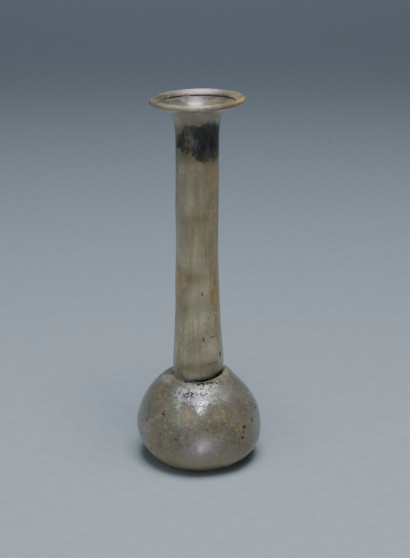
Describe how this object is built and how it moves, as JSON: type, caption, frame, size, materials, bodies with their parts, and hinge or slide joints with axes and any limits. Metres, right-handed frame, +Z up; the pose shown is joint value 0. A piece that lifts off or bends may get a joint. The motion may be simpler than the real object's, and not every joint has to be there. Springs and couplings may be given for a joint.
{
  "type": "blown glass flask",
  "caption": "Free-blown glass flask with a long neck, a squat body and a wide folded rim, weathered and iridescent.",
  "frame": {"origin": "on the standing surface, under the middle of the flask's bounding box", "axes": "+Z up along the neck to the mouth, +X towards the side where the rim sits higher, -Y towards the front"},
  "size_m": [0.0545, 0.054, 0.1605],
  "materials": {
    "glass": "weathered, pitted, translucent, with iridescent and silvery flaking film",
    "deposit": "dark dried crust on the inside of the upper neck"
  },
  "bodies": {
    "root": {"flask": "glass"}
  },
  "joints": []
}
